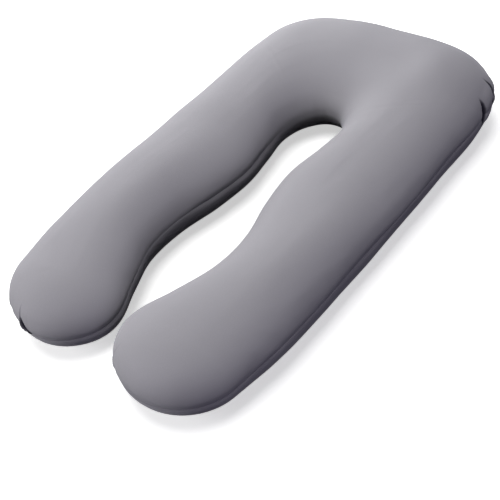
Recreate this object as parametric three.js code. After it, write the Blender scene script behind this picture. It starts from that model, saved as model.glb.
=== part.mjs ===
// A full-length U-shaped pregnancy pillow, lying on its back: two long arms joined by a deep head end.
// Two panels of stretch cloth are cut to one outline, sewn together along their edge and filled tight,
// so the whole pillow is a single stuffed body with one seam that runs round it at about half its height,
// a little above its widest line.
// Millimetres. X is across the pillow, Y runs from the feet (-Y) to the head (+Y), Z is up.
// The origin is the middle of the base, on the surface that the pillow lies on.
import * as THREE from "three";
import { mergeVertices } from "three/addons/utils/BufferGeometryUtils.js";

// Driving dimensions.
const LENGTH = 1400;
const WIDTH = 774;
const WIDEST_HEIGHT = 90;
const SEAM_RISE = 7;
const SEAM_NIP = 3;
const SEAM_SHOULDER = 9;
const FOOT_REACH = 147;
const FOOT_LEAN = THREE.MathUtils.degToRad(7.8);

// Exponents of the rounded outlines: 2 is an ellipse, and more is squarer.
const SECTION_ROUNDNESS = 2.2;
const FOOT_ROUNDNESS = 2;

// The tension of the curves through the ribs.
const CURVE_TENSION = 0.5;

// A crease starts this far below the seam, as a share of its reach, and spreads this many half-widths to
// each side. The exponent makes its trough narrower than its spread.
const CREASE_BELOW = 0.4;
const CREASE_SPREAD = 2;
const CREASE_SHARPNESS = 4;
const CREASED_SHARE = 0.5;

// How finely the body is divided.
const STEPS_BETWEEN_RIBS = 4;
const STEPS_ROUND_FOOT = 16;
const STEPS_OVER_CROWN = 7;
const STEPS_UNDER_SEAM = 5;
const STEPS_BESIDE_CREASE = 4;
const SLOPE_STEP = 0.01;
const CLEAR_OF_CREASE = 1.2;
const SAME_POINT = 1e-3;

// One half of the pillow, rib by rib from the middle of the head to the foot. A rib crosses the stuffing
// from the inner edge to the outer edge. Crown is the top's height above the widest line, and rest is the
// share of the rib that lies flat.
const RIBS = [
  { innerX: 0, innerY: 303, outerX: 0, outerY: 696, crown: 108, rest: 0.28 },
  { innerX: 29, innerY: 297, outerX: 147, outerY: 689, crown: 110, rest: 0.28 },
  { innerX: 54, innerY: 275, outerX: 270, outerY: 656, crown: 111, rest: 0.28 },
  { innerX: 78, innerY: 237, outerX: 351, outerY: 576, crown: 112, rest: 0.28 },
  { innerX: 89, innerY: 177, outerX: 379, outerY: 458, crown: 109, rest: 0.28 },
  { innerX: 76, innerY: 97, outerX: 384, outerY: 312, crown: 106, rest: 0.28 },
  { innerX: 62, innerY: 0, outerX: 386, outerY: 152, crown: 106, rest: 0.28 },
  { innerX: 78, innerY: -110, outerX: 386, outerY: -7, crown: 106, rest: 0.28 },
  { innerX: 108, innerY: -226, outerX: 384, outerY: -157, crown: 106, rest: 0.28 },
  { innerX: 106, innerY: -345, outerX: 383, outerY: -301, crown: 105, rest: 0.22 },
  { innerX: 65, innerY: -450, outerX: 376, outerY: -440, crown: 101, rest: 0.16 },
  { innerX: 27, innerY: -543, outerX: 357, outerY: -563, crown: 97, rest: 0.11 },
];

// The creases where the seam gathers the cloth on its tightest curves. Side is 1 for the +X half and -1
// for the -X half. Place counts ribs along the outer edge, and past the last rib it goes round the foot,
// one unit for the half turn. Lean is how far the crease's top stands along the edge from its foot.
const CREASES = [
  { side: 1, place: 3.28, lean: -38, depth: 6, halfWidth: 12, reach: 64 },
  { side: 1, place: 3.87, lean: -33, depth: 9, halfWidth: 12, reach: 60 },
  { side: -1, place: 3.5, lean: 20, depth: 6, halfWidth: 12, reach: 60 },
  { side: 1, place: 11.7, lean: 20, depth: 3, halfWidth: 12, reach: 60 },
  { side: -1, place: 11.28, lean: -8, depth: 3, halfWidth: 12, reach: 60 },
  { side: -1, place: 11.43, lean: -6, depth: 8, halfWidth: 12, reach: 68 },
];

const CLOTH = new THREE.MeshStandardMaterial({ color: 0x8e8c92, roughness: 0.85, metalness: 0 });

const lastRib = RIBS.length - 1;

// The direction in which the +X arm ends: away from the head, and a little towards the other arm.
const FOOT_DIRECTION = new THREE.Vector3(-Math.sin(FOOT_LEAN), -Math.cos(FOOT_LEAN), 0);

// A smooth curve through one column pair of the ribs. It is carried past both ends, so that it crosses
// the pillow's middle squarely and runs straight into the round foot.
function ribCurve(pick, pickMirrored, pastFoot) {
  const points = RIBS.map(pick);
  const before = pickMirrored(RIBS[1]);
  const after = pastFoot(points[lastRib - 1], points[lastRib]);
  return new THREE.CatmullRomCurve3([before, ...points, after], false, "catmullrom", CURVE_TENSION);
}

// The point beyond the foot that turns an edge's tangent into the foot's own direction.
function squareToFoot(previous, last) {
  return previous.clone().addScaledVector(FOOT_DIRECTION, 2 * previous.distanceTo(last));
}

const innerEdge = ribCurve(
  (rib) => new THREE.Vector3(rib.innerX, rib.innerY, 0),
  (rib) => new THREE.Vector3(-rib.innerX, rib.innerY, 0),
  squareToFoot,
);
const outerEdge = ribCurve(
  (rib) => new THREE.Vector3(rib.outerX, rib.outerY, 0),
  (rib) => new THREE.Vector3(-rib.outerX, rib.outerY, 0),
  squareToFoot,
);
const filling = ribCurve(
  (rib) => new THREE.Vector3(rib.crown, rib.rest, 0),
  (rib) => new THREE.Vector3(rib.crown, rib.rest, 0),
  (previous, last) => last.clone(),
);

// Reads a rib curve at a rib's number, which may lie between two ribs.
function at(curve, rib) {
  return curve.getPoint((rib + 1) / (RIBS.length + 1));
}

// One coordinate of a superellipse's quarter.
function rounded(value, roundness) {
  return Math.sign(value) * Math.abs(value) ** (2 / roundness);
}

// A station on the pillow's edge: the widest line's point, the spine's point that the cloth is drawn from,
// and the filling there. Past the last rib, place goes round the foot.
function stationAt(place, edge) {
  const rib = Math.min(place, lastRib);
  const inner = at(innerEdge, rib);
  const outer = at(outerEdge, rib);
  const spine = inner.clone().lerp(outer, 1 / 2);
  const widest = (edge === "inner" ? inner : outer).clone();
  if (place > lastRib) {
    const angle = (place - lastRib) * Math.PI;
    const across = outer.clone().sub(spine).multiplyScalar(rounded(Math.cos(angle), FOOT_ROUNDNESS));
    widest.copy(spine).add(across);
    widest.addScaledVector(FOOT_DIRECTION, FOOT_REACH * rounded(Math.sin(angle), FOOT_ROUNDNESS));
  }
  const { x: crown, y: rest } = at(filling, rib);
  return { place, widest, spine, crown, rest };
}

// The places along the outer edge and round the foot, with finer steps of their own across each crease.
function outerPlaces(creases) {
  let places = [];
  for (let step = 0; step <= lastRib * STEPS_BETWEEN_RIBS; step++) places.push(step / STEPS_BETWEEN_RIBS);
  for (let step = 1; step < STEPS_ROUND_FOOT; step++) places.push(lastRib + step / STEPS_ROUND_FOOT);
  for (const { place, halfWidth } of creases) {
    const before = stationAt(place - SLOPE_STEP, "outer").widest;
    const after = stationAt(place + SLOPE_STEP, "outer").widest;
    const spread = (CREASE_SPREAD * halfWidth * 2 * SLOPE_STEP) / before.distanceTo(after);
    const isClear = (other) => Math.abs(other - place) > CLEAR_OF_CREASE * spread;
    places = places.filter((other) => other === lastRib || isClear(other));
    for (let step = -STEPS_BESIDE_CREASE; step <= STEPS_BESIDE_CREASE; step++) {
      places.push(place + (step / STEPS_BESIDE_CREASE) * spread);
    }
  }
  return places.sort((a, b) => a - b);
}

// Every station of one half, from the head's outer edge down the arm, round the foot and up to the notch.
function stationsOf(creases) {
  const stations = outerPlaces(creases).map((place) => stationAt(place, "outer"));
  let run = 0;
  stations.forEach((station, index) => {
    if (index > 0) run += station.widest.distanceTo(stations[index - 1].widest);
    station.run = run;
  });
  // The inner edge takes the same ribs as the outer edge, so that both meet on the spine.
  const armPlaces = stations.map((station) => station.place).filter((place) => place <= lastRib);
  const inner = armPlaces.reverse().map((place) => ({ ...stationAt(place, "inner"), run: -Infinity }));
  return [...stations, ...inner];
}

// How far the creases draw the cloth in at one point of the half. A crease starts a little below the
// seam, is deepest at the seam and fades out up the crown.
function creaseDepth(station, height, creases) {
  let depth = 0;
  for (const { run, lean, depth: full, halfWidth, reach } of creases) {
    const up = (height - WIDEST_HEIGHT - SEAM_RISE) / reach;
    const off = (station.run - run - lean * up) / halfWidth;
    if (Math.abs(off) >= CREASE_SPREAD || up <= -CREASE_BELOW || up >= 1) continue;
    const fade = up < 0 ? 1 + up / CREASE_BELOW : 1 - up;
    depth += full * fade * Math.cos((off / CREASE_SPREAD) * (Math.PI / 2)) ** CREASE_SHARPNESS;
  }
  return depth;
}

// The points of the cloth's line from the crown to the base, as shares of the rib's half-width and as
// heights. Both quarters are superellipses that meet on the widest line. The seam draws its own point in
// and has a shoulder above it.
function sectionPoints({ crown, rest }) {
  const points = [];
  for (let step = 0; step < STEPS_OVER_CROWN; step++) {
    const angle = ((step / STEPS_OVER_CROWN) * Math.PI) / 2;
    const lift = crown * rounded(Math.cos(angle), SECTION_ROUNDNESS);
    points.push({ share: rounded(Math.sin(angle), SECTION_ROUNDNESS), height: WIDEST_HEIGHT + lift });
  }
  for (const [rise, nip] of [[SEAM_RISE + SEAM_SHOULDER, 0], [SEAM_RISE, SEAM_NIP]]) {
    const share = (1 - (rise / crown) ** SECTION_ROUNDNESS) ** (1 / SECTION_ROUNDNESS);
    points.push({ share, height: WIDEST_HEIGHT + rise, nip });
  }
  for (let step = STEPS_UNDER_SEAM; step >= 0; step--) {
    const angle = ((step / STEPS_UNDER_SEAM) * Math.PI) / 2;
    const share = rest + (1 - rest) * rounded(Math.sin(angle), SECTION_ROUNDNESS);
    const drop = WIDEST_HEIGHT * rounded(Math.cos(angle), SECTION_ROUNDNESS);
    points.push({ share, height: WIDEST_HEIGHT - drop });
  }
  points.push({ share: 0, height: 0 });
  return points;
}

// The cloth's line over one station: from the spine over the crown to the seam, and back underneath.
// Creases reach only the outer part of a rib, near the seam.
function halfSection(station, creases) {
  const { widest, spine } = station;
  const width = widest.distanceTo(spine);
  const outwards = widest.clone().sub(spine).divideScalar(width);
  return sectionPoints(station).map(({ share, height, nip = 0 }) => {
    const drawnIn = share > CREASED_SHARE ? creaseDepth(station, height, creases) + nip : 0;
    return spine.clone().addScaledVector(outwards, share * width - drawnIn).setZ(height);
  });
}

// Adds the skin of one half. The -X half is the +X half mirrored, with its faces turned round.
function addHalf(side, positions) {
  const creases = CREASES.filter((crease) => crease.side === side);
  const stations = stationsOf(creases);
  for (const crease of creases) crease.run = stations.find((station) => station.place === crease.place).run;
  const lines = stations.map((station) => halfSection(station, creases));
  for (const line of lines) for (const point of line) point.x *= side;
  const addFace = (...corners) => {
    const [a, b, c] = side < 0 ? corners : corners.reverse();
    const collapsed = [[a, b], [b, c], [c, a]].some(([p, q]) => p.distanceTo(q) < SAME_POINT);
    if (!collapsed) positions.push(...a.toArray(), ...b.toArray(), ...c.toArray());
  };
  for (let i = 0; i + 1 < lines.length; i++) {
    for (let j = 0; j + 1 < lines[i].length; j++) {
      const [a, b, c, d] = [lines[i][j], lines[i][j + 1], lines[i + 1][j + 1], lines[i + 1][j]];
      addFace(a, b, c);
      addFace(a, c, d);
    }
  }
}

// The whole stuffed body as one closed skin, brought to its driving length and width and centred.
function pillowGeometry() {
  const positions = [];
  for (const side of [1, -1]) addHalf(side, positions);
  const loose = new THREE.BufferGeometry();
  loose.setAttribute("position", new THREE.Float32BufferAttribute(positions, 3));
  const skin = mergeVertices(loose, SAME_POINT);
  skin.computeBoundingBox();
  const size = skin.boundingBox.getSize(new THREE.Vector3());
  const middle = skin.boundingBox.getCenter(new THREE.Vector3());
  skin.translate(-middle.x, -middle.y, 0);
  skin.scale(WIDTH / size.x, LENGTH / size.y, 1);
  skin.computeVertexNormals();
  return skin;
}

const pillow = new THREE.Mesh(pillowGeometry(), CLOTH);
pillow.name = "pillow";

const part = new THREE.Group();
part.add(pillow);

export default part;
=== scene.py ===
"""A full-length U-shaped pregnancy pillow in smooth grey stretch knit, lying on its back.

Two panels of one outline are sewn together along their edge and stuffed tight. The cover is built over
the same ribs as the solid model, filled under pressure with the cloth solver, and then gets its seam,
its gathers and its creases. All sizes are in metres.
"""

import logging
import math
from dataclasses import dataclass, field
from enum import Enum

import bpy
import numpy as np
from mathutils import Matrix, Vector, noise


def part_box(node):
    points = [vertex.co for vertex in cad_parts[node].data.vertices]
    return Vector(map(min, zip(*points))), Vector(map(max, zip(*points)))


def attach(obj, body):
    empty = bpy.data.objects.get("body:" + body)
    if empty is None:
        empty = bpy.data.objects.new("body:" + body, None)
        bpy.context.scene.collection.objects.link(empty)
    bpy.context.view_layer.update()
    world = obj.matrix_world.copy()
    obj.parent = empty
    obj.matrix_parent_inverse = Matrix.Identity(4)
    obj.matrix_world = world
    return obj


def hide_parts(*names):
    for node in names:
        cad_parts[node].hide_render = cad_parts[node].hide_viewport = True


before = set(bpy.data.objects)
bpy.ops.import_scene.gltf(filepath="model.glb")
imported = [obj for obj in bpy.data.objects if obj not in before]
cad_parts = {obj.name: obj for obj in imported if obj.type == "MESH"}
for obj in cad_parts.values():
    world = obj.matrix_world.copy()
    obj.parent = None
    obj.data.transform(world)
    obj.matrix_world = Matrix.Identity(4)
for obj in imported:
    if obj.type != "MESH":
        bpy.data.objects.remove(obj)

LOG = logging.getLogger("pregnancy_pillow")


class Side(Enum):
    """The two arms of the pillow, by the sign of X that they lie on."""

    NEAR = 1
    FAR = -1


@dataclass(frozen=True)
class Rib:
    """One line across the stuffing, from the inner edge to the outer edge.

    Args:
        inner: The inner edge's X and Y.
        outer: The outer edge's X and Y.
        crown: Height of the top above the widest line.
        rest: Share of the rib that lies flat on the surface below.
    """

    inner: tuple[float, float]
    outer: tuple[float, float]
    crown: float
    rest: float


@dataclass(frozen=True)
class Crease:
    """A crease that the seam's gathering leaves in the cloth: a sharp lip beside a trough, with shade
    painted into the trough.

    Args:
        side: The arm that it is on.
        place: Where it leaves the seam, counted in ribs along the outer edge. Past the last rib it
            goes round the foot, one unit for the half turn.
        lean: How far along the edge its tip stands from where it leaves the seam.
        opens: On which side of the lip the trough lies: 1 further along the edge, -1 before it.
        depth: How deep the trough is beside the lip.
        lip: How high the lip stands.
        swell: How high the cloth swells on the trough's other side.
        width: The trough's width at the seam.
        reach: How far it runs up the top panel.
        under: How far it runs down the bottom panel.
        shade: How dark the shade painted inside the trough is, from 0 to 1.
    """

    side: Side
    place: float
    lean: float
    opens: int
    depth: float
    lip: float
    swell: float
    width: float
    reach: float
    under: float
    shade: float


@dataclass(frozen=True)
class Swell:
    """A soft rise of the stuffing under the top panel.

    Args:
        x: Its middle, across the pillow.
        y: Its middle, along the pillow.
        width: How far it spreads across.
        length: How far it spreads along.
        height: How high it is.
    """

    x: float
    y: float
    width: float
    length: float
    height: float


@dataclass(frozen=True)
class CreaseForm:
    """The proportions that all the creases share.

    Args:
        wall: Half the thickness of the sharp wall under the lip.
        lean_below: Share of the lean that the crease keeps below the seam.
        tip: The trough's width at its tip, as a share of that at the seam.
        bank: How hollow the trough's gentle bank is, where 1 is straight.
        fade: How evenly the depth fades along the crease, where 1 is evenly.
        lip_width: The lip's width, as a share of the trough's.
        lip_back: How far the lip stands back from the wall, in lip widths.
        swell_width: The swell's width, as a share of the trough's at the seam.
        swell_out: How far out the swell stands, in swell widths.
        swell_part: Which part of the crease's length the swell rises over.
        shade_across: How steeply the shade fades at the bank.
        shade_along: How steeply the shade fades at the tip.
        shade_back: How far back over the wall the shade reaches, in walls.
    """

    wall: float = 0.0015
    lean_below: float = 0.35
    tip: float = 0.12
    bank: float = 1.25
    fade: float = 0.6
    lip_width: float = 0.45
    lip_back: float = 0.4
    swell_width: float = 1.1
    swell_out: float = 1.4
    swell_part: float = 0.75
    shade_across: float = 3.5
    shade_along: float = 2.5
    shade_back: float = 1.2


@dataclass(frozen=True)
class Ripple:
    """Smooth unevenness laid out along the seam.

    Args:
        along: The size of its waves along the seam.
        across: Their size across the seam, or none where they run straight across.
        layer: Which layer of the noise it is taken from.
    """

    along: float
    across: float | None
    layer: float

    def at(self, run: np.ndarray, distance: np.ndarray) -> np.ndarray:
        """Returns the unevenness at each point, from -1 to 1."""
        spread = distance / self.across if self.across else np.zeros_like(distance)
        return np.array([noise.noise(Vector((r, d, self.layer))) for r, d in zip(run / self.along, spread)])


@dataclass(frozen=True)
class Stuffing:
    """How the cover is filled by the cloth solver, and how much of the result is kept.

    Args:
        pressure: The filling's pressure.
        frames: How many frames it is filled for.
        quality: The solver's steps for each frame.
        mass: The cloth's mass at each point.
        stretch: The cloth's stiffness against stretching and squeezing.
        shear: Its stiffness against shearing.
        bending: Its stiffness against bending.
        gather: Share of its length that the seam loses where it is gathered most.
        gather_reach: How far from the seam the gathering reaches.
        gather_straight: Share of the gathering that is left where the seam runs straight.
        gather_least: Share below which a point isn't gathered.
        rest_height: Height below which a point is held where it rests.
        smoothing: How many rounds of smoothing tell the wrinkles from the large form.
        most_movement: The farthest that a wrinkle may move a point.
        kept: Share of the wrinkles that is kept at the seam.
        kept_away: Share of those that is kept far from it.
        kept_reach: How far from the seam the kept share fades.
    """

    pressure: float = 4.0
    frames: int = 20
    quality: int = 5
    mass: float = 0.3
    stretch: float = 15.0
    shear: float = 5.0
    bending: float = 0.5
    gather: float = 0.06
    gather_reach: float = 0.012
    gather_straight: float = 0.25
    gather_least: float = 0.02
    rest_height: float = 0.0005
    smoothing: int = 25
    most_movement: float = 0.004
    kept: float = 0.35
    kept_away: float = 0.15
    kept_reach: float = 0.045


@dataclass
class Edge:
    """The stations round one half of the cover, as arrays with a row for each station."""

    seam: np.ndarray
    spine: np.ndarray
    crown: np.ndarray
    rest: np.ndarray
    run: np.ndarray
    seam_rise: np.ndarray
    tightness: np.ndarray
    arm_count: int
    foot_count: int


@dataclass
class Skin:
    """The grid of points of one half, with a row for each station and a column for each ring."""

    points: np.ndarray
    flat: np.ndarray
    distance: np.ndarray
    run: np.ndarray
    tightness: np.ndarray


RIBS = (
    Rib((0.000, 0.303), (0.000, 0.696), 0.108, 0.28),
    Rib((0.029, 0.297), (0.147, 0.689), 0.110, 0.28),
    Rib((0.054, 0.275), (0.270, 0.656), 0.111, 0.28),
    Rib((0.078, 0.237), (0.351, 0.576), 0.112, 0.28),
    Rib((0.089, 0.177), (0.379, 0.458), 0.109, 0.28),
    Rib((0.076, 0.097), (0.384, 0.312), 0.106, 0.28),
    Rib((0.062, 0.000), (0.386, 0.152), 0.106, 0.28),
    Rib((0.078, -0.110), (0.386, -0.007), 0.106, 0.28),
    Rib((0.108, -0.226), (0.384, -0.157), 0.106, 0.28),
    Rib((0.106, -0.345), (0.383, -0.301), 0.105, 0.22),
    Rib((0.065, -0.450), (0.376, -0.440), 0.101, 0.16),
    Rib((0.027, -0.543), (0.357, -0.563), 0.097, 0.11),
)

# The four deep ones stand at the head's corners and on the far foot.
CREASES = (
    Crease(Side.NEAR, 3.28, -0.038, -1, 0.014, 0.0010, 0.005, 0.020, 0.066, 0.022, 0.95),
    Crease(Side.NEAR, 3.95, -0.036, -1, 0.020, 0.0010, 0.006, 0.028, 0.053, 0.028, 0.97),
    Crease(Side.FAR, 3.50, 0.020, 1, 0.009, 0.0022, 0.004, 0.014, 0.050, 0.018, 0.50),
    Crease(Side.FAR, 11.45, -0.013, 1, 0.013, 0.0015, 0.001, 0.024, 0.040, 0.020, 0.99),
    # Ridges without a trough of their own.
    Crease(Side.FAR, 11.44, -0.014, 1, 0.002, 0.0050, 0.000, 0.011, 0.080, 0.010, 0.00),
    Crease(Side.FAR, 11.28, -0.008, 1, 0.002, 0.0020, 0.000, 0.012, 0.062, 0.018, 0.20),
    Crease(Side.NEAR, 11.70, 0.020, 1, 0.001, 0.0028, 0.000, 0.012, 0.085, 0.020, 0.10),
)

# Where the stuffing lies thicker, and a hollow above the notch.
SWELLS = (
    Swell(-0.190, -0.220, 0.070, 0.180, 0.008),
    Swell(0.290, -0.280, 0.075, 0.220, 0.004),
    Swell(0.210, 0.490, 0.065, 0.120, 0.007),
    Swell(-0.120, 0.210, 0.060, 0.110, 0.005),
    Swell(0.020, 0.330, 0.080, 0.055, -0.007),
)


def superellipse(value: np.ndarray, roundness: float) -> np.ndarray:
    """Returns one coordinate of a superellipse from the cosine or sine of its angle."""
    return np.sign(value) * np.abs(value) ** (2 / roundness)


def catmull_rom(rows: np.ndarray, t: np.ndarray) -> np.ndarray:
    """Returns points of the smooth curve through rows.

    Args:
        rows: The curve's points, one in each row.
        t: Where to read it, in rows from the first.

    Returns:
        One row for each value of t.
    """
    first = np.clip(np.floor(t).astype(int), 1, len(rows) - 3)
    u = (t - first)[:, None]
    p0, p1, p2, p3 = (rows[first + k] for k in (-1, 0, 1, 2))
    m1 = (p2 - p0) / 2
    m2 = (p3 - p1) / 2
    return (
        (2 * u**3 - 3 * u**2 + 1) * p1
        + (u**3 - 2 * u**2 + u) * m1
        + (3 * u**2 - 2 * u**3) * p2
        + (u**3 - u**2) * m2
    )


def eased(values: np.ndarray, reach: int) -> np.ndarray:
    """Returns values averaged with their neighbours.

    Args:
        values: The values, in order.
        reach: How many neighbours on each side take part.

    Returns:
        As many values, as if the first and the last went on past the ends.
    """
    padded = np.concatenate([np.full(reach, values[0]), values, np.full(reach, values[-1])])
    weight = np.hanning(2 * reach + 3)[1:-1]
    return np.convolve(padded, weight / weight.sum(), "valid")


@dataclass
class Outline:
    """The pillow's outline and filling, read from its ribs."""

    foot_reach: float = 0.147
    foot_lean: float = math.radians(7.8)
    foot_roundness: float = 2.0
    coarse: float = 0.0150
    fine: float = 0.0034
    fine_reach: float = 0.042
    samples: int = 24000
    foot_step: int = 4
    seam_rise_places: tuple[float, ...] = (0.0, 10.2, 11.1, 11.8, 12.8, 20.0, 21.5, 23.0)
    seam_rises: tuple[float, ...] = (0.007, 0.007, -0.004, -0.005, 0.007, 0.007, 0.011, 0.011)
    rise_easing: int = 8
    tightest_turn: float = 9.0
    tightness_easing: int = 9

    def __post_init__(self) -> None:
        """Works out the curves' rows, with one more at each end."""
        self.last = len(RIBS) - 1
        self.foot_direction = np.array([-math.sin(self.foot_lean), -math.cos(self.foot_lean)])
        rows = np.array([[*rib.inner, *rib.outer, rib.crown, rib.rest] for rib in RIBS])
        before = rows[1] * np.array([-1, 1, -1, 1, 1, 1])
        after = rows[-1].copy()
        for pair in (slice(0, 2), slice(2, 4)):
            gap = np.linalg.norm(rows[-1, pair] - rows[-2, pair])
            after[pair] = rows[-2, pair] + 2 * gap * self.foot_direction
        self.rows = np.vstack([before, rows, after])

    def outer_at(self, place: np.ndarray) -> np.ndarray:
        """Returns points of the outer edge and, past the last rib, of the foot's edge.

        Args:
            place: The places, counted in ribs, with one unit for the half turn of the foot.

        Returns:
            An X and Y for each place.
        """
        rib = catmull_rom(self.rows, np.minimum(place, self.last) + 1)
        inner, outer = rib[:, :2], rib[:, 2:4]
        angle = np.clip(place - self.last, 0, 1)[:, None] * math.pi
        across = (outer - inner) / 2 * superellipse(np.cos(angle), self.foot_roundness)
        along = self.foot_reach * superellipse(np.sin(angle), self.foot_roundness)
        return (inner + outer) / 2 + across + along * self.foot_direction

    def run_at(self, place: float) -> float:
        """Returns the length of the outer edge from the middle of the head to one place."""
        steps = self.outer_at(np.linspace(0, place, self.samples))
        return float(np.linalg.norm(np.diff(steps, axis=0), axis=1).sum())

    def places(self, side: Side) -> tuple[np.ndarray, np.ndarray]:
        """Returns where the stations stand, closer together beside the creases.

        Args:
            side: The arm, for its own creases.

        Returns:
            The places along the arm, and those round its foot without either end.
        """
        dense = np.linspace(0, self.last + 1, self.samples)
        edge = self.outer_at(dense)
        run = np.concatenate([[0], np.cumsum(np.linalg.norm(np.diff(edge, axis=0), axis=1))])
        density = np.full_like(run, 1 / self.coarse)
        for crease in CREASES:
            if crease.side is side:
                off = (run - np.interp(crease.place, dense, run)) / self.fine_reach
                density += (1 / self.fine - 1 / self.coarse) * np.exp(-(off**4))
        count = np.concatenate([[0], np.cumsum(density[:-1] * np.diff(run))])
        at_foot = np.interp(self.last, dense, count)
        arm = np.linspace(0, at_foot, int(at_foot) + 2)
        # The foot's steps come in fours, since the rings inside it keep every second, fourth or eighth.
        steps = self.foot_step * (int((count[-1] - at_foot) / self.foot_step) + 1)
        foot = np.linspace(at_foot, count[-1], steps + 1)
        return np.interp(arm, count, dense), np.interp(foot[1:-1], count, dense)

    def edge(self, side: Side) -> Edge:
        """Works out every station of one half, from the head round the foot to the notch.

        Args:
            side: The arm, for the creases that its stations crowd round.

        Returns:
            The half's stations, with X positive on either arm.
        """
        arm, foot = self.places(side)
        rib = catmull_rom(self.rows, arm + 1)
        inner, outer = rib[:, :2], rib[:, 2:4]
        spine = (inner + outer) / 2
        seam = np.vstack([outer, self.outer_at(foot), inner[::-1]])
        step = np.linalg.norm(np.diff(seam, axis=0), axis=1)
        run = np.concatenate([[0], np.cumsum(step)])
        heading = np.unwrap(np.arctan2(*np.gradient(seam, run, axis=0).T))
        # The heading rises where the edge bulges, and falls in the notch. The steps at both ends have a
        # neighbour on one side only, so they take their turn from the next.
        turn = np.gradient(heading, run)
        turn[:2] = turn[2]
        turn[-2:] = turn[-3]
        ends = np.repeat(rib[-1:, 4:], len(foot), axis=0)
        filling = np.vstack([rib[:, 4:], ends, rib[::-1, 4:]])
        place = np.concatenate([arm, foot, 2 * self.last + 1 - arm[::-1]])
        rise = np.interp(place, self.seam_rise_places, self.seam_rises)
        return Edge(
            seam=seam,
            spine=np.vstack([spine, np.repeat(spine[-1:], len(foot), axis=0), spine[::-1]]),
            crown=filling[:, 0],
            rest=filling[:, 1],
            run=run,
            seam_rise=eased(rise, self.rise_easing),
            tightness=eased(np.clip(turn / self.tightest_turn, -1, 1), self.tightness_easing),
            arm_count=len(arm),
            foot_count=len(foot),
        )


@dataclass
class Section:
    """The cloth's line across half a rib: over the crown to the seam, and back underneath."""

    widest: float = 0.090
    roundness: float = 2.2
    samples: int = 160
    beside_seam: tuple[float, ...] = (0.0015, 0.0036, 0.0068, 0.0115, 0.0180)
    steps_over: int = 17
    steps_under: int = 10

    @property
    def seam_ring(self) -> int:
        """Returns the seam's place among the rings."""
        return self.steps_over + len(self.beside_seam)

    def _line(self, edge: Edge) -> np.ndarray:
        """Draws each station's line from the spine on top to the spine underneath, finely sampled.

        Args:
            edge: The half's stations.

        Returns:
            A row for each station, with the points of its line.
        """
        angle = np.linspace(0, math.pi / 2, self.samples)[None, :]
        over = superellipse(np.sin(angle), self.roundness) * np.ones((len(edge.run), 1))
        lift = edge.crown[:, None] * superellipse(np.cos(angle), self.roundness)
        rest = edge.rest[:, None]
        under = rest + (1 - rest) * over[:, ::-1][:, 1:]
        drop = self.widest * superellipse(np.cos(angle), self.roundness)[:, ::-1][:, 1:]
        resting = rest * np.linspace(1, 0, self.samples // 4)[None, 1:]
        share = np.hstack([over, under, resting])
        height = np.hstack([self.widest + lift, self.widest - drop + 0 * under, 0 * resting])
        line = np.empty((*share.shape, 3))
        line[..., :2] = edge.spine[:, None, :] + (edge.seam - edge.spine)[:, None, :] * share[..., None]
        line[..., 2] = height
        return line

    def skin(self, edge: Edge) -> Skin:
        """Returns the points of one half's cover.

        Args:
            edge: The half's stations.

        Returns:
            The points, and for each its place in the flat panel and its distance from the seam.
        """
        line = self._line(edge)
        step = np.linalg.norm(np.diff(line, axis=1), axis=2)
        arc = np.hstack([np.zeros((len(step), 1)), np.cumsum(step, axis=1)])
        at_seam = arc[:, self.samples - 1] - edge.seam_rise
        beside = np.array(self.beside_seam)
        over = np.linspace(0, 1, self.steps_over + 1)[None, :-1] * (at_seam - beside[-1])[:, None]
        above = at_seam[:, None] - beside[None, ::-1]
        below = at_seam[:, None] + beside[None, :]
        left = (arc[:, -1] - at_seam - beside[-1])[:, None]
        under = below[:, -1:] + np.linspace(0, 1, self.steps_under + 1)[None, 1:] * left
        place = np.hstack([over, above, at_seam[:, None], below, under])
        points = np.empty((*place.shape, 3))
        for i, row in enumerate(place):
            for axis in range(3):
                points[i, :, axis] = np.interp(row, arc[i], line[i, :, axis])
        distance = at_seam[:, None] - place
        from_spine = np.where(distance >= 0, place, arc[:, -1:] - place)
        across = edge.seam - edge.spine
        outwards = across / np.linalg.norm(across, axis=1)[:, None]
        flat = edge.spine[:, None, :] + outwards[:, None, :] * from_spine[..., None]
        return Skin(points, flat, distance, edge.run, edge.tightness)


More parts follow.
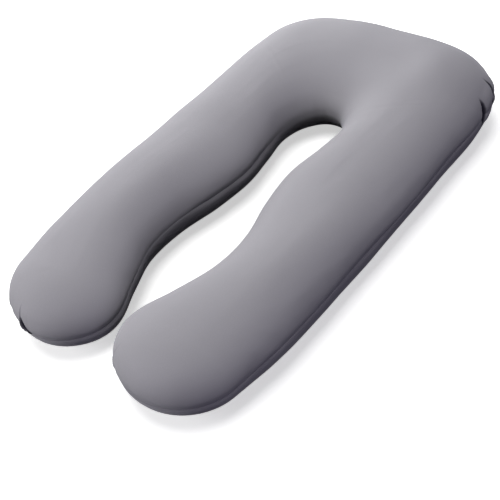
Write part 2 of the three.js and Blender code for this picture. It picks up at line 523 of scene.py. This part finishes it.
@dataclass
class Cover:
    """The sewn and stuffed cover of the pillow."""

    outline: Outline = field(default_factory=Outline)
    section: Section = field(default_factory=Section)
    stuffing: Stuffing = Stuffing()
    crease_form: CreaseForm = CreaseForm()
    # Round the foot, this many inner rings keep only every so many stations.
    foot_strides: tuple[tuple[int, int], ...] = ((2, 8), (4, 4), (6, 2))
    seam_nip: float = 0.0014
    seam_width: float = 0.0024
    seam_roundness: float = 1.3
    seam_hollow: float = 0.0026
    seam_hollow_width: float = 0.0095
    hollow_mean: float = 0.5
    hollow_change: float = 0.9
    hollow_at_turns: float = 0.5
    hollow_least: float = 0.1
    hollow_ripple: Ripple = Ripple(0.16, None, 5.3)
    notch_ease: float = 1.4
    notch_least: float = 0.1
    notch_fade: float = 0.05
    lump_size: float = 0.13
    lump_height: float = 0.0025
    lump_fade: float = 0.04
    swell_fade: float = 0.06
    pull_height: float = 0.0009
    pull_ripple: Ripple = Ripple(0.16, 0.030, 7.7)
    pull_patches: Ripple = Ripple(0.20, 0.09, 2.2)
    pull_mean: float = 0.4
    pull_change: float = 1.8
    pull_at_head: float = 0.35
    head_run: float = 0.30
    head_fade: float = 0.30
    pucker_height: float = 0.0010
    pucker_ripple: Ripple = Ripple(0.011, None, 3.1)
    pucker_reach: float = 0.016
    pucker_roundness: float = 1.6
    pucker_start: float = 0.002
    pucker_straight: float = 0.15

    def build(self) -> bpy.types.Object:
        """Sews the cover, stuffs it, and draws in its seam and creases.

        Returns:
            The finished cover, in its place.
        """
        cover = self._mesh()
        LOG.info("cover sewn: %d points", len(cover.data.vertices))
        self._stuff(cover)
        LOG.info("cover stuffed")
        self._subdivide(cover)
        self._gather(cover)
        cover.data.shade_smooth()
        LOG.info("seam and creases drawn in: %d faces", len(cover.data.polygons))
        return cover

    def _owner(self, edge: Edge, rings: int) -> np.ndarray:
        """Returns for each point the station that owns it, where several stations share one.

        Args:
            edge: The half's stations.
            rings: How many rings the cover has.

        Returns:
            A row for each station and a column for each ring.
        """
        count = len(edge.run)
        owner = np.repeat(np.arange(count)[:, None], rings, axis=1)
        last_arm = edge.arm_count - 1
        foot = np.arange(edge.arm_count, edge.arm_count + edge.foot_count)
        inner = np.arange(edge.arm_count + edge.foot_count, count)
        for ring in (0, rings - 1):
            owner[foot, ring] = last_arm
            owner[inner, ring] = count - 1 - inner
        for rings_in, stride in self.foot_strides:
            for ring in [*range(1, rings_in), *range(rings - rings_in, rings - 1)]:
                step = foot - last_arm
                kept = owner[foot, ring] == foot
                owner[foot[kept], ring] = last_arm + (step[kept] // stride) * stride
        return owner

    def _mesh(self) -> bpy.types.Object:
        """Lays out the two panels as one mesh, joined at the seam.

        Returns:
            The cover, at the solid's length and width.
        """
        points, runs, distances, tight = [], [], [], []
        faces, corners = [], []
        shared = {}
        for side in Side:
            edge = self.outline.edge(side)
            skin = self.section.skin(edge)
            count, rings = skin.distance.shape
            owner = self._owner(edge, rings)
            mirror = np.array([side.value, 1, 1])
            number = np.empty((count, rings), int)
            for i in range(count):
                for j in range(rings):
                    k = int(owner[i, j])
                    if k in (0, count - 1):
                        key = ("middle", k > 0, j)
                    else:
                        key = (side.value, k, j)
                    if key not in shared:
                        shared[key] = len(points)
                        points.append(skin.points[k, j] * mirror)
                        runs.append(skin.run[k])
                        distances.append(skin.distance[k, j])
                        tight.append(skin.tightness[k])
                    number[i, j] = shared[key]
            for i in range(count - 1):
                for j in range(rings - 1):
                    loop = [(i, j), (i + 1, j), (i + 1, j + 1), (i, j + 1)]
                    if side is Side.FAR:
                        loop.reverse()
                    names = [number[a, b] for a, b in loop]
                    kept = [n for n in range(4) if names[n] != names[n - 1]]
                    if len(kept) < 3:
                        continue
                    faces.append([int(names[n]) for n in kept])
                    under = 1.0 if j >= self.section.seam_ring else 0.0
                    for n in kept:
                        a, b = loop[n]
                        x, y = skin.flat[a, b]
                        corners.append((x * side.value + under, y))
        mesh = bpy.data.meshes.new("pillow_cover")
        mesh.from_pydata([tuple(p) for p in points], [], faces)
        layer = mesh.uv_layers.new(name="panel")
        layer.data.foreach_set("uv", np.array(corners, np.float32).ravel())
        for name, values in (("run", runs), ("seam_distance", distances), ("tightness", tight)):
            attribute = mesh.attributes.new(name, "FLOAT", "POINT")
            attribute.data.foreach_set("value", np.array(values, np.float32))
        mesh.validate()
        cover = bpy.data.objects.new("pillow_cover", mesh)
        bpy.context.scene.collection.objects.link(cover)
        self._place(mesh)
        return cover

    def _place(self, mesh: bpy.types.Mesh) -> None:
        """Brings the cover to the solid's length and width.

        Args:
            mesh: The cover's mesh.
        """
        low, high = (np.array(corner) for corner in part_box("pillow"))
        co = read_points(mesh)
        scale = (high - low) / (co.max(0) - co.min(0))
        scale[2] = 1
        middle = (co.max(0) + co.min(0)) / 2
        middle[2] = 0
        write_points(mesh, (co - middle) * scale)

    def _stuff(self, cover: bpy.types.Object) -> None:
        """Fills the cover under pressure, and keeps part of the wrinkles that the cloth gets.

        Args:
            cover: The cover, as it is sewn.
        """
        mesh = cover.data
        stuffing = self.stuffing
        start = read_points(mesh)
        distance = read_attribute(mesh, "seam_distance")
        tight = read_attribute(mesh, "tightness")
        resting = cover.vertex_groups.new(name="resting")
        at_rest = np.nonzero(start[:, 2] < stuffing.rest_height)[0]
        resting.add([int(i) for i in at_rest], 1.0, "REPLACE")
        gathered = cover.vertex_groups.new(name="gathered")
        straight = stuffing.gather_straight
        weight = np.exp(-((distance / stuffing.gather_reach) ** 2))
        weight *= straight + (1 - straight) * np.maximum(tight, 0)
        for i in np.nonzero(weight > stuffing.gather_least)[0]:
            gathered.add([int(i)], float(weight[i]), "REPLACE")
        cloth = cover.modifiers.new("stuffing", "CLOTH")
        settings = cloth.settings
        settings.quality = stuffing.quality
        settings.mass = stuffing.mass
        settings.tension_stiffness = stuffing.stretch
        settings.compression_stiffness = stuffing.stretch
        settings.shear_stiffness = stuffing.shear
        settings.bending_stiffness = stuffing.bending
        settings.use_pressure = True
        settings.uniform_pressure_force = stuffing.pressure
        settings.effector_weights.gravity = 0
        settings.vertex_group_mass = resting.name
        settings.vertex_group_shrink = gathered.name
        settings.shrink_min = 0.0
        settings.shrink_max = stuffing.gather
        cloth.collision_settings.use_collision = False
        cloth.collision_settings.use_self_collision = False
        for number in range(1, stuffing.frames + 1):
            bpy.context.scene.frame_set(number)
        bpy.context.view_layer.objects.active = cover
        bpy.ops.object.modifier_apply(modifier=cloth.name)
        bpy.context.scene.frame_set(1)
        cover.vertex_groups.clear()
        moved = read_points(mesh) - start
        LOG.info("largest movement %.4f m", np.linalg.norm(moved, axis=1).max())
        detail = moved - smoothed(mesh, moved, stuffing.smoothing)
        length = np.linalg.norm(detail, axis=1, keepdims=True)
        LOG.info("largest wrinkle %.4f m", length.max())
        cap = stuffing.most_movement
        detail *= cap * np.tanh(length / cap) / np.maximum(length, 1e-9)
        # The cloth is taut on the crown, so most of what is kept lies beside the seam.
        beside = np.exp(-((distance / stuffing.kept_reach) ** 2))
        kept = stuffing.kept * (stuffing.kept_away + (1 - stuffing.kept_away) * beside)
        result = start + detail * kept[:, None]
        result[:, 2] = np.maximum(result[:, 2], 0)
        write_points(mesh, result)

    def _subdivide(self, cover: bpy.types.Object) -> None:
        """Rounds the cover with one level of subdivision.

        Args:
            cover: The cover, once it is stuffed.
        """
        modifier = cover.modifiers.new("rounding", "SUBSURF")
        modifier.levels = 1
        modifier.render_levels = 1
        modifier.uv_smooth = "NONE"
        bpy.context.view_layer.objects.active = cover
        bpy.ops.object.modifier_apply(modifier=modifier.name)

    def _gather(self, cover: bpy.types.Object) -> None:
        """Draws in the seam, its puckers and the creases, leaves the stuffing's soft lumps, and stores the
        shade painted into the creases.

        Args:
            cover: The cover, once it is rounded.
        """
        mesh = cover.data
        co = read_points(mesh)
        normal = np.empty(len(co) * 3, np.float32)
        mesh.vertex_normals.foreach_get("vector", normal)
        normal = normal.reshape(-1, 3).astype(float)
        run = read_attribute(mesh, "run") * np.where(co[:, 0] < 0, -1, 1)
        distance = read_attribute(mesh, "seam_distance")
        tight = read_attribute(mesh, "tightness")
        out = self._lumps(co)
        out += self._pulls(run, distance)
        out += self._puckers(run, distance, tight)
        out -= self._seam(run, distance, tight)
        # How much shade the creases paint onto each point, stored for the material.
        fold = np.zeros(len(co))
        for crease in CREASES:
            height, shade = self._crease(crease, run, distance)
            out += height
            fold = np.maximum(fold, shade)
        attribute = mesh.attributes.new("fold", "FLOAT", "POINT")
        attribute.data.foreach_set("value", fold.astype(np.float32))
        co = co + normal * out[:, None]
        co[:, 2] = np.maximum(co[:, 2], 0)
        write_points(mesh, co)

    def _lumps(self, co: np.ndarray) -> np.ndarray:
        """Works out the soft unevenness of the stuffing.

        Args:
            co: The cover's points.

        Returns:
            A height along the normal for each point.
        """
        uneven = np.array([noise.noise(Vector(p) / self.lump_size) for p in co])
        out = self.lump_height * uneven * np.clip(co[:, 2] / self.lump_fade, 0, 1)
        top = np.clip((co[:, 2] - self.section.widest) / self.swell_fade, 0, 1)
        for swell in SWELLS:
            across = (co[:, 0] - swell.x) / swell.width
            along = (co[:, 1] - swell.y) / swell.length
            out += swell.height * top * np.exp(-(across**2) - along**2)
        return out

    def _pulls(self, run: np.ndarray, distance: np.ndarray) -> np.ndarray:
        """Works out the faint long folds that the tight cloth has along its arms.

        Args:
            run: Each point's place along the edge, in metres, negative on the far arm.
            distance: Each point's distance from the seam, positive on the top panel.

        Returns:
            A height along the normal for each point.
        """
        wave = self.pull_ripple.at(run, distance)
        patch = self.pull_patches.at(run, distance)
        patch = np.clip(self.pull_mean + self.pull_change * patch, 0, 1)
        # Round the head the cloth is smoother.
        past_head = np.clip((np.abs(run) - self.head_run) / self.head_fade, 0, 1)
        arm = self.pull_at_head + (1 - self.pull_at_head) * past_head
        return self.pull_height * wave * patch * arm * self._before_notch(run)

    def _before_notch(self, run: np.ndarray) -> np.ndarray:
        """Returns a share that fades out where the two halves meet in the notch."""
        length = np.abs(run)
        return np.clip((length.max() - length) / self.notch_fade, 0, 1)

    def _seam(self, run: np.ndarray, distance: np.ndarray, tight: np.ndarray) -> np.ndarray:
        """Works out how deep the seam lies: a narrow groove in a soft hollow that comes and goes.

        Args:
            run: Each point's place along the edge, in metres, negative on the far arm.
            distance: Each point's distance from the seam, positive on the top panel.
            tight: How tightly the edge turns beside each point, negative in the notch.

        Returns:
            A depth for each point.
        """
        away = np.abs(distance) / self.seam_width
        groove = self.seam_nip * np.exp(-(away**self.seam_roundness))
        wave = self.hollow_ripple.at(run, distance) * self._before_notch(run)
        pull = self.hollow_mean + self.hollow_change * wave + self.hollow_at_turns * np.maximum(tight, 0)
        hollow = self.seam_hollow * np.clip(pull, self.hollow_least, 1)
        hollow *= np.exp(-((distance / self.seam_hollow_width) ** 2))
        # In the notch the cloth is stretched smooth over the seam.
        return (groove + hollow) * np.clip(1 + self.notch_ease * tight, self.notch_least, 1)

    def _puckers(self, run: np.ndarray, distance: np.ndarray, tight: np.ndarray) -> np.ndarray:
        """Works out the small ripples that the stitches leave beside the seam.

        Args:
            run: Each point's place along the edge, in metres, negative on the far arm.
            distance: Each point's distance from the seam, positive on the top panel.
            tight: How tightly the edge turns beside each point, negative in the notch.

        Returns:
            A height along the normal for each point.
        """
        wave = self.pucker_ripple.at(run, distance) * self._before_notch(run)
        away = np.abs(distance)
        fade = np.exp(-((away / self.pucker_reach) ** self.pucker_roundness))
        fade *= 1 - np.exp(-away / self.pucker_start)
        share = np.clip(self.pucker_straight + (1 - self.pucker_straight) * tight, 0, 1)
        return self.pucker_height * share * wave * fade

    def _crease(
        self, crease: Crease, run: np.ndarray, distance: np.ndarray
    ) -> tuple[np.ndarray, np.ndarray]:
        """Returns how far one crease moves the cloth along its normal, and how much shade is painted on it.

        Args:
            crease: The crease.
            run: Each point's place along the edge, in metres, negative on the far arm.
            distance: Each point's distance from the seam, positive on the top panel.

        Returns:
            A height for each point, negative in the trough and positive on the lip, and a share of
            shade for each point.
        """
        form = self.crease_form
        start = self.outline.run_at(crease.place)
        above = distance >= 0
        here = run * crease.side.value >= 0
        taper = np.clip(1 - np.where(above, distance / crease.reach, -distance / crease.under), 0, 1)
        lean = crease.lean * distance / crease.reach * np.where(above, 1, form.lean_below)
        off = (run * crease.side.value - start - lean) * crease.opens
        across = np.clip(1 - off / (crease.width * (form.tip + (1 - form.tip) * taper)), 0, 1)
        trough = across**form.bank * (1 + np.tanh(off / form.wall)) / 2
        lip_width = form.lip_width * crease.width * (form.tip + (1 - form.tip) * taper)
        lip = np.exp(-((off / lip_width + form.lip_back) ** 2))
        swell = np.exp(-((off / (form.swell_width * crease.width) - form.swell_out) ** 2))
        swell *= np.sin(math.pi * form.swell_part * taper)
        height = taper**form.fade * (crease.lip * lip - crease.depth * trough) + crease.swell * swell
        # The painted shade covers the whole wall under the lip as well.
        shade = crease.shade * (1 + np.tanh(off / form.wall + form.shade_back)) / 2
        shade *= np.clip(form.shade_across * across, 0, 1) * np.clip(form.shade_along * taper, 0, 1)
        return here * height, here * shade


def read_points(mesh: bpy.types.Mesh) -> np.ndarray:
    """Reads a mesh's points.

    Args:
        mesh: The mesh.

    Returns:
        A row for each point.
    """
    co = np.empty(len(mesh.vertices) * 3, np.float32)
    mesh.vertices.foreach_get("co", co)
    return co.reshape(-1, 3).astype(float)


def write_points(mesh: bpy.types.Mesh, co: np.ndarray) -> None:
    """Moves a mesh's points to the rows of co."""
    mesh.vertices.foreach_set("co", co.astype(np.float32).ravel())
    mesh.update()


def read_attribute(mesh: bpy.types.Mesh, name: str) -> np.ndarray:
    """Reads one of a mesh's point attributes.

    Args:
        mesh: The mesh.
        name: The attribute's name.

    Returns:
        A value for each point.
    """
    values = np.empty(len(mesh.vertices), np.float32)
    mesh.attributes[name].data.foreach_get("value", values)
    return values.astype(float)


def smoothed(mesh: bpy.types.Mesh, values: np.ndarray, rounds: int) -> np.ndarray:
    """Returns values averaged with their neighbours' again and again.

    Args:
        mesh: The mesh whose edges join the neighbours.
        values: A row for each point.
        rounds: How many times to average.

    Returns:
        A smoothed row for each point.
    """
    pairs = np.empty(len(mesh.edges) * 2, np.int32)
    mesh.edges.foreach_get("vertices", pairs)
    a, b = pairs.reshape(-1, 2).T
    count = np.bincount(a, minlength=len(values)) + np.bincount(b, minlength=len(values))
    result = values.copy()
    for _ in range(rounds):
        total = np.zeros_like(result)
        for axis in range(result.shape[1]):
            total[:, axis] = np.bincount(a, result[b, axis], len(values))
            total[:, axis] += np.bincount(b, result[a, axis], len(values))
        result = (result + total / count[:, None]) / 2
    return result


class Value:
    """A number that a shader works out, with the usual arithmetic."""

    def __init__(self, graph: "Graph", socket: bpy.types.NodeSocket | None) -> None:
        """Wraps one output socket, or none for a node without outputs."""
        self.graph = graph
        self.socket = socket

    def _math(self, operation: str, *inputs: "Value | float") -> "Value":
        """Adds one Math node over inputs."""
        return self.graph.node("ShaderNodeMath", {"operation": operation}, dict(enumerate(inputs)))

    def __add__(self, other: "Value | float") -> "Value":
        """Returns self + other."""
        return self._math("ADD", self, other)

    def __radd__(self, other: float) -> "Value":
        """Returns other + self."""
        return self._math("ADD", other, self)

    def __sub__(self, other: "Value | float") -> "Value":
        """Returns self - other."""
        return self._math("SUBTRACT", self, other)

    def __rsub__(self, other: float) -> "Value":
        """Returns other - self."""
        return self._math("SUBTRACT", other, self)

    def __mul__(self, other: "Value | float") -> "Value":
        """Returns self * other."""
        return self._math("MULTIPLY", self, other)

    def __rmul__(self, other: float) -> "Value":
        """Returns other * self."""
        return self._math("MULTIPLY", other, self)

    def __truediv__(self, other: "Value | float") -> "Value":
        """Returns self / other."""
        return self._math("DIVIDE", self, other)

    def __abs__(self) -> "Value":
        """Returns the size of self."""
        return self._math("ABSOLUTE", self)

    def fraction(self) -> "Value":
        """Returns the part of self after the point."""
        return self._math("FRACT", self)

    def sine(self) -> "Value":
        """Returns the sine of self."""
        return self._math("SINE", self)

    def clamped(self) -> "Value":
        """Returns self kept between 0 and 1."""
        return self.graph.node("ShaderNodeClamp", {}, {0: self})


class Graph:
    """The node tree of one material."""

    def __init__(self, name: str) -> None:
        """Makes an empty material.

        Args:
            name: The material's name.
        """
        self.material = bpy.data.materials.new(name)
        self.material.use_nodes = True
        self.tree = self.material.node_tree
        self.tree.nodes.clear()

    def node(
        self,
        kind: str,
        settings: dict[str, object],
        inputs: dict[int | str, object],
        output: int | str = 0,
    ) -> Value:
        """Adds one node.

        Args:
            kind: The node's type.
            settings: Its own settings, which are set first.
            inputs: A value or a link for each named or numbered input.
            output: The output to return.

        Returns:
            The chosen output.
        """
        made = self.tree.nodes.new(kind)
        for name, value in settings.items():
            setattr(made, name, value)
        for name, value in inputs.items():
            if isinstance(value, Value):
                self.tree.links.new(value.socket, made.inputs[name])
            else:
                made.inputs[name].default_value = value
        return Value(self, made.outputs[output] if made.outputs else None)


@dataclass(frozen=True)
class StretchKnit:
    """Smooth fine jersey, brushed to a soft dull gleam.

    Args:
        deep: Colour at the dark end of the tone: the darker yarn, and the shade painted in the stitches'
            grooves.
        light: Colour at the light end of the tone: the lighter yarn, and the stitches' tops.
        shade: Colour of the shade painted at the bottom of a crease and along the seam.
        wale: Width of one column of stitches.
        course: Height of one row of stitches.
        bump: Depth of the stitches.
        bump_strength: How much of that depth shows.
        yarn_scale: Fineness of the yarn's fuzz.
        cloud_scale: Fineness of the soft change in tone over the cloth.
        stitch_share: Share in the tone of the shade painted by the stitches, darker in their grooves.
        yarn_share: Share of the yarn's fuzz in the tone.
        cloud_share: Share of the soft change in the tone.
        yarn_height: Height of the yarn's fuzz beside that of the stitches.
        seam_width: How far from the seam shade is painted.
        seam_shade: How much shade is painted into the seam.
        notch_ease: How soon that fades where the edge turns inwards.
        painted_shade_mix: Share of a dark, dull shader that is mixed in as painted shade at a crease's
            bottom, where it also takes away the gleam.
        roughness: Least roughness.
        roughness_change: How much rougher the cloth is in places.
        gleam: Strength of its plain reflection.
        painted_shade_gleam: Strength of that dark shader's plain reflection.
        painted_shade_roughness: Roughness of that dark shader.
        sheen: Strength of the soft rim.
        sheen_roughness: Width of the soft rim.
        sheen_tint: Colour of the soft rim.
    """

    deep: tuple[float, float, float] = (0.235, 0.228, 0.252)
    light: tuple[float, float, float] = (0.300, 0.292, 0.318)
    shade: tuple[float, float, float] = (0.020, 0.018, 0.030)
    wale: float = 0.0012
    course: float = 0.0009
    bump: float = 0.00010
    bump_strength: float = 0.5
    yarn_scale: float = 420.0
    cloud_scale: float = 5.0
    stitch_share: float = 0.35
    yarn_share: float = 0.35
    cloud_share: float = 0.30
    yarn_height: float = 0.3
    seam_width: float = 0.0035
    seam_shade: float = 0.30
    notch_ease: float = 1.4
    painted_shade_mix: float = 0.8
    roughness: float = 0.72
    roughness_change: float = 0.12
    gleam: float = 0.3
    painted_shade_gleam: float = 0.05
    painted_shade_roughness: float = 0.9
    sheen: float = 0.25
    sheen_roughness: float = 0.45
    sheen_tint: tuple[float, float, float] = (0.9, 0.9, 1.0)

    def material(self) -> bpy.types.Material:
        """Makes the knit, with its stitches, and with shade painted into its stitches' grooves, along its
        seam and into its creases.

        Returns:
            The material.
        """
        graph = Graph("stretch_knit_grey")
        place = graph.node("ShaderNodeUVMap", {"uv_map": "panel"}, {})
        across = graph.node("ShaderNodeSeparateXYZ", {}, {0: place}, "X")
        along = graph.node("ShaderNodeSeparateXYZ", {}, {0: place}, "Y")
        column = abs((across / self.wale).fraction() - 0.5) * 2.0
        slant = (along / self.course + column * 0.5) * (2 * math.pi)
        stitch = (slant.sine() * 0.5 + 0.5) * (1.0 - column * column)
        body = graph.node("ShaderNodeTexCoord", {}, {}, "Object")
        yarn = graph.node(
            "ShaderNodeTexNoise", {}, {"Vector": body, "Scale": self.yarn_scale, "Detail": 2.0}
        )
        cloudy = graph.node(
            "ShaderNodeTexNoise", {}, {"Vector": body, "Scale": self.cloud_scale, "Detail": 3.0}
        )
        distance = graph.node("ShaderNodeAttribute", {"attribute_name": "seam_distance"}, {}, "Fac")
        tight = graph.node("ShaderNodeAttribute", {"attribute_name": "tightness"}, {}, "Fac")
        # Shade painted along the seam, which fades where the edge turns inwards.
        beside_seam = 1.0 - (abs(distance) / self.seam_width).clamped()
        painted_seam_shade = beside_seam * (1.0 + tight * self.notch_ease).clamped()
        # The stitches' share of the tone is painted shade, darker in their grooves; the yarn's and the
        # cloud's shares are the cloth's own uneven tone.
        tone = stitch * self.stitch_share + yarn * self.yarn_share + cloudy * self.cloud_share
        knit = graph.node(
            "ShaderNodeMix",
            {"data_type": "RGBA"},
            {0: tone.clamped(), 6: (*self.deep, 1), 7: (*self.light, 1)},
            2,
        )
        # The base colour is darkened towards the shade colour: painted shade in the creases and along the
        # seam.
        fold = graph.node("ShaderNodeAttribute", {"attribute_name": "fold"}, {}, "Fac")
        colour = graph.node(
            "ShaderNodeMix",
            {"data_type": "RGBA"},
            {0: (fold + painted_seam_shade * self.seam_shade).clamped(), 6: knit, 7: (*self.shade, 1)},
            2,
        )
        height = stitch + yarn * self.yarn_height
        normal = graph.node(
            "ShaderNodeBump",
            {},
            {"Strength": self.bump_strength, "Distance": self.bump, "Height": height},
        )
        shader = graph.node(
            "ShaderNodeBsdfPrincipled",
            {},
            {
                "Base Color": colour,
                "Roughness": self.roughness + cloudy * self.roughness_change,
                "Specular IOR Level": self.gleam,
                "Sheen Weight": self.sheen,
                "Sheen Roughness": self.sheen_roughness,
                "Sheen Tint": (*self.sheen_tint, 1),
                "Normal": normal,
            },
        )
        # A dark, dull shader, mixed in at the creases' bottoms as painted shade.
        painted_shade_shader = graph.node(
            "ShaderNodeBsdfPrincipled",
            {},
            {
                "Base Color": (*self.shade, 1),
                "Roughness": self.painted_shade_roughness,
                "Specular IOR Level": self.painted_shade_gleam,
            },
        )
        both = graph.node("ShaderNodeMixShader", {}, {0: fold * self.painted_shade_mix, 1: shader, 2: painted_shade_shader})
        graph.node("ShaderNodeOutputMaterial", {}, {"Surface": both})
        return graph.material


# The colours of the light, and the point beside the gap that the lights face.
NEUTRAL = (1.0, 1.0, 0.99)
COOL = (0.84, 0.80, 1.0)
MIDDLE = Vector((0.10, -0.20, 0.10))


@dataclass(frozen=True)
class Softbox:
    """One square light, placed round the pillow's middle.

    Args:
        name: Its name.
        azimuth: Degrees round the pillow: 0 is from the feet, 90 from the near arm's side.
        elevation: Degrees above the floor.
        distance: How far away it stands.
        size: Its width.
        power: Its power in watts.
        tint: The colour of its light.
    """

    name: str
    azimuth: float
    elevation: float
    distance: float
    size: float
    power: float
    tint: tuple[float, float, float] = NEUTRAL

    def hang(self) -> bpy.types.Object:
        """Makes the light and points it at the pillow.

        Returns:
            The light, in its place.
        """
        light = bpy.data.lights.new(self.name, "AREA")
        light.shape = "SQUARE"
        light.size = self.size
        light.energy = self.power
        light.color = self.tint
        lamp = bpy.data.objects.new(self.name, light)
        bpy.context.scene.collection.objects.link(lamp)
        back = direction(self.azimuth, self.elevation)
        lamp.location = MIDDLE + back * self.distance
        lamp.rotation_euler = back.to_track_quat("Z", "Y").to_euler()
        return lamp


def direction(azimuth: float, elevation: float) -> Vector:
    """Returns the unit vector from the pillow towards a place round it, from two angles in degrees."""
    turn, rise = math.radians(azimuth), math.radians(elevation)
    return Vector(
        (math.sin(turn) * math.cos(rise), -math.cos(turn) * math.cos(rise), math.sin(rise))
    )


@dataclass(frozen=True)
class FloorPaint:
    """The pale floor's finish, which glows more the farther it is from the pillow.

    Args:
        colour: Its grey.
        roughness: Its roughness.
        near_glow: Its glow under and beside the pillow.
        far_glow: Its glow far away.
        glow_start: How far from the origin the glow begins to rise.
        glow_rise: How far it goes on rising.
    """

    colour: float = 0.9
    roughness: float = 0.9
    near_glow: float = 0.55
    far_glow: float = 1.0
    glow_start: float = 1.2
    glow_rise: float = 2.5

    def material(self) -> bpy.types.Material:
        """Makes the finish.

        Returns:
            The material.
        """
        graph = Graph("pale_floor")
        place = graph.node("ShaderNodeTexCoord", {}, {}, "Object")
        away = graph.node("ShaderNodeVectorMath", {"operation": "LENGTH"}, {0: place}, "Value")
        rise = ((away - self.glow_start) / self.glow_rise).clamped()
        near, far = ((glow, glow, glow, 1) for glow in (self.near_glow, self.far_glow))
        glow = graph.node("ShaderNodeMix", {"data_type": "RGBA"}, {0: rise, 6: near, 7: far}, 2)
        shader = graph.node(
            "ShaderNodeBsdfPrincipled",
            {},
            {
                "Base Color": (self.colour, self.colour, self.colour, 1),
                "Roughness": self.roughness,
                "Emission Color": glow,
                "Emission Strength": 1.0,
            },
        )
        graph.node("ShaderNodeOutputMaterial", {}, {"Surface": shader})
        return graph.material


@dataclass
class Studio:
    """The plain floor, the soft lights and the camera."""

    floor_size: float = 60.0
    floor_paint: FloorPaint = FloorPaint()
    softboxes: tuple[Softbox, ...] = (
        Softbox("overhead", 0.0, 88.0, 3.0, 1.8, 71.0),
        Softbox("behind_head", 225.0, 12.0, 4.2, 2.5, 148.0),
        Softbox("behind_head_high", 225.0, 45.0, 4.2, 2.5, 38.0),
        Softbox("far_side", 315.0, 12.0, 4.2, 2.5, 142.0),
        Softbox("camera_side", 48.0, 5.0, 3.0, 1.8, 26.0, COOL),
        Softbox("near_side", 135.0, 12.0, 3.0, 1.8, 10.0, COOL),
    )
    azimuth: float = 48.67
    elevation: float = 44.63
    roll: float = -14.07
    distance: float = 2.271
    sensor: float = 36.0
    lens: float = 66.15
    aim: tuple[float, float, float] = (0.1215, -0.2195, 0.090)

    def build(self) -> None:
        """Sets up the whole studio."""
        self._floor()
        for softbox in self.softboxes:
            softbox.hang()
        self._world()
        self._camera()
        bpy.context.scene.view_settings.view_transform = "Standard"
        LOG.info("studio set up")

    def _floor(self) -> None:
        """Lays the pale floor."""
        bpy.ops.object.select_all(action="DESELECT")
        bpy.ops.mesh.primitive_plane_add(size=self.floor_size, location=(0, 0, 0))
        floor = bpy.context.active_object
        floor.name = "floor"
        floor.visible_diffuse = False
        floor.visible_glossy = False
        floor.data.materials.append(self.floor_paint.material())

    def _world(self) -> None:
        """Makes the air round the pillow white."""
        world = bpy.data.worlds.new("studio_air")
        world.use_nodes = True
        world.node_tree.nodes["Background"].inputs["Color"].default_value = (1, 1, 1, 1)
        world.node_tree.nodes["Background"].inputs["Strength"].default_value = 1.0
        # The air is bright to look at, but gives no light to the pillow.
        world.cycles_visibility.diffuse = False
        world.cycles_visibility.glossy = False
        bpy.context.scene.world = world

    def _camera(self) -> None:
        """Sets the camera at the photograph's angle."""
        camera = bpy.data.cameras.new("camera")
        camera.sensor_width = self.sensor
        camera.lens = self.lens
        holder = bpy.data.objects.new("camera", camera)
        bpy.context.scene.collection.objects.link(holder)
        back = direction(self.azimuth, self.elevation)
        turn = math.radians(self.azimuth)
        level = Vector((math.cos(turn), math.sin(turn), 0))
        upright = back.cross(level)
        roll = math.radians(self.roll)
        right = level * math.cos(roll) + upright * math.sin(roll)
        up = upright * math.cos(roll) - level * math.sin(roll)
        place = Matrix((right, up, back)).transposed().to_4x4()
        place.translation = Vector(self.aim) + back * self.distance
        holder.matrix_world = place
        bpy.context.scene.camera = holder


def main() -> None:
    """Builds the pillow and its studio."""
    logging.basicConfig(level=logging.INFO, format="%(name)s: %(message)s")
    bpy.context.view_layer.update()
    cover = Cover().build()
    cover.data.materials.append(StretchKnit().material())
    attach(cover, "root")
    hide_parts("pillow")
    Studio().build()


if __name__ == "__main__":
    main()
